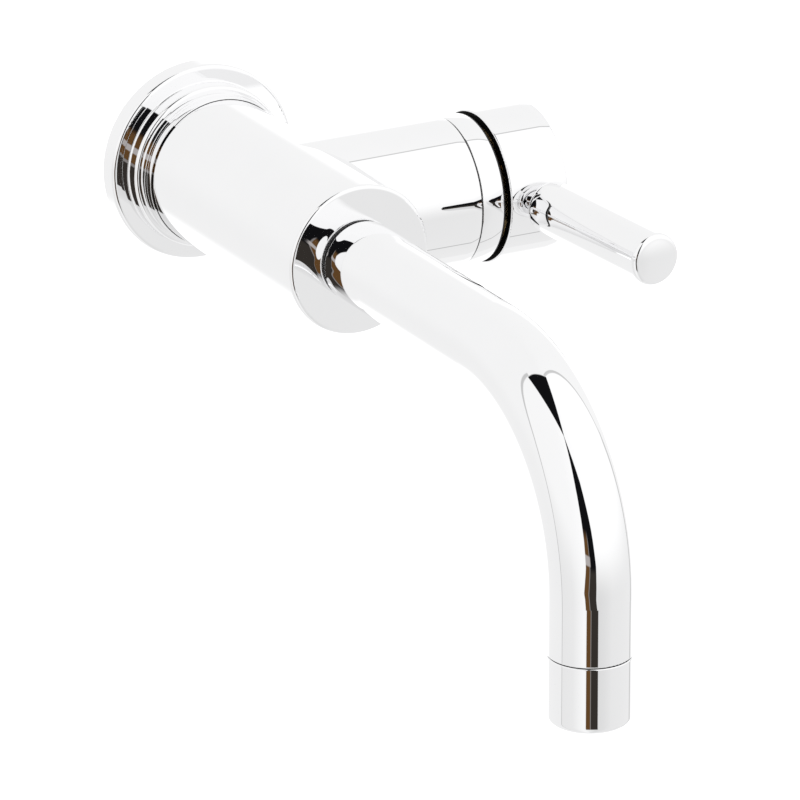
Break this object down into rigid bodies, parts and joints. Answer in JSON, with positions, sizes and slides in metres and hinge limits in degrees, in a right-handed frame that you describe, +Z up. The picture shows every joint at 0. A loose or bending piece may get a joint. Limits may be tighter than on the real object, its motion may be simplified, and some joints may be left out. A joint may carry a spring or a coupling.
{
  "type": "wall-mounted basin mixer",
  "caption": "Single-lever basin mixer for a wall: round body on a stepped flange, long spout bent down at its end, and a side arm whose cap and rod lever set flow and temperature.",
  "frame": {"origin": "centre of the wall gasket's back face, on the axis of the body, in the plane of the wall", "axes": "+Z up, +Y into the wall, so the tap stands out along -Y, +X along the side arm"},
  "size_m": [0.1202, 0.2914, 0.1317],
  "materials": {
    "chrome": "polished plate over brass",
    "brass": "machined",
    "rubber": "matt black",
    "black_plastic": "moulded",
    "light_plastic": "moulded",
    "ceramic": "lapped",
    "steel": "turned"
  },
  "bodies": {
    "root": {"wall_gasket": "rubber", "wall_flange": "chrome", "flange_o_ring": "rubber", "main_body": "chrome", "inlet_block": "brass", "inlet_seals": "rubber", "block_screws": "steel", "fixing_studs": "steel", "spout_shank": "brass", "spout_o_rings": "rubber", "root_ring": "black_plastic", "spout_tube": "chrome", "spout_grub_screw": "steel", "aerator_housing": "chrome", "aerator_washer": "rubber", "aerator_insert": "light_plastic", "aerator_screen": "steel", "flow_regulator": "black_plastic", "cartridge_base": "light_plastic", "port_seals": "rubber", "disc_seals": "rubber", "fixed_disc": "ceramic", "cartridge_shell": "light_plastic", "cartridge_nut": "brass", "limit_ring": "black_plastic", "bonnet_sleeve": "chrome", "slide_ring": "black_plastic"},
    "turret": {"cartridge_turret": "black_plastic", "neck_o_ring": "rubber", "pivot_pin": "steel"},
    "handle": {"handle_cap": "chrome", "handle_hub": "brass", "drive_stem": "steel", "lever_spigot": "steel", "lever_rod": "chrome", "lever_grub_screw": "steel"},
    "disc": {"moving_disc": "ceramic", "disc_carrier": "light_plastic"}
  },
  "joints": [
    {"name": "temperature_turn", "type": "hinge", "parent": "root", "child": "turret", "pos_m": [0, -0.0682, 0], "axis": [1, 0, 0], "range_deg": [-45, 45]},
    {"name": "flow_pull", "type": "hinge", "parent": "turret", "child": "handle", "pos_m": [0.066, -0.0532, 0], "axis": [0, 0, 1], "range_deg": [0, 8]},
    {"name": "disc_slide", "type": "slide", "parent": "turret", "child": "disc", "axis": [0, -1, 0], "range_m": [0, 0.0041]}
  ],
  "couplings": [
    {"joint": "disc_slide", "follows": "flow_pull", "m_per_rad": 0.02914}
  ]
}
